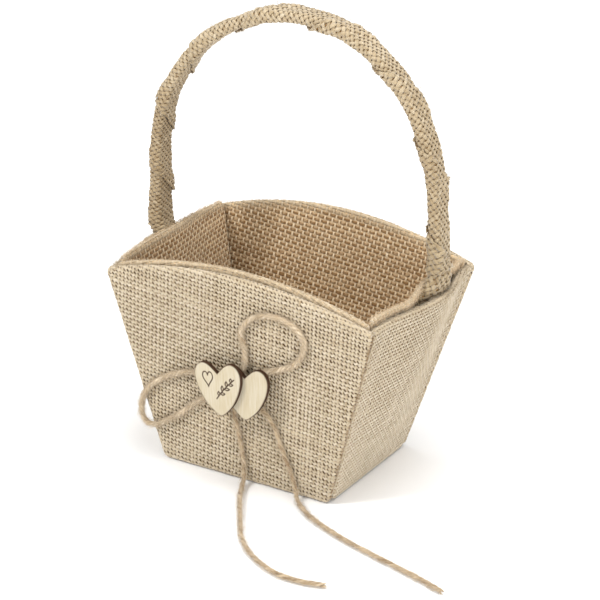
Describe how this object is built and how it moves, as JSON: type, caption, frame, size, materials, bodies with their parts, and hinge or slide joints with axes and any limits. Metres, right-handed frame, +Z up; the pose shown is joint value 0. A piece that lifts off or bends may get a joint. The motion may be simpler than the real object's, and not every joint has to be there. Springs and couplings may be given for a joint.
{
  "type": "flower girl basket",
  "caption": "Small flared basket of burlap-covered board with an arched wrapped handle, jute-twine bow and wooden hearts on the front.",
  "frame": {"origin": "on the surface the basket stands on, under the centre of the body", "axes": "+Z up, +X to the right seen from the front, -Y towards the front panel that carries the bow; the handle arches over from -X to +X"},
  "size_m": [0.2172, 0.177, 0.2335],
  "materials": {
    "outer_burlap": "natural jute hessian, open plain weave, matt",
    "lining_burlap": "natural jute hessian, darker and looser, matt",
    "handle_burlap": "hessian tape cut on the bias, frayed edges",
    "grey_board": "uncoated grey board",
    "handle_strip": "flat split-cane strip",
    "jute_twine": "three-ply twisted jute, hairy",
    "plywood_heart": "bare laser-cut plywood with dark burnt edge",
    "clear_glue": "hot-melt glue"
  },
  "bodies": {
    "root": {"front_board": "grey_board", "front_cover": "outer_burlap", "back_board": "grey_board", "back_cover": "outer_burlap", "left_board": "grey_board", "left_cover": "outer_burlap", "right_board": "grey_board", "right_cover": "outer_burlap", "base_board": "grey_board", "base_cover": "outer_burlap", "front_lining_board": "grey_board", "front_lining": "lining_burlap", "back_lining_board": "grey_board", "back_lining": "lining_burlap", "left_lining_board": "grey_board", "left_lining": "lining_burlap", "right_lining_board": "grey_board", "right_lining": "lining_burlap", "base_lining_board": "grey_board", "base_lining": "lining_burlap", "handle_core": "handle_strip", "handle_wrap": "handle_burlap", "twine_knot": "jute_twine", "twine_loop_left": "jute_twine", "twine_loop_right": "jute_twine", "twine_tail_left": "jute_twine", "twine_tail_right": "jute_twine", "heart_back": "plywood_heart", "heart_front": "plywood_heart", "bow_glue": "clear_glue", "corner_glue": "clear_glue"}
  },
  "joints": []
}
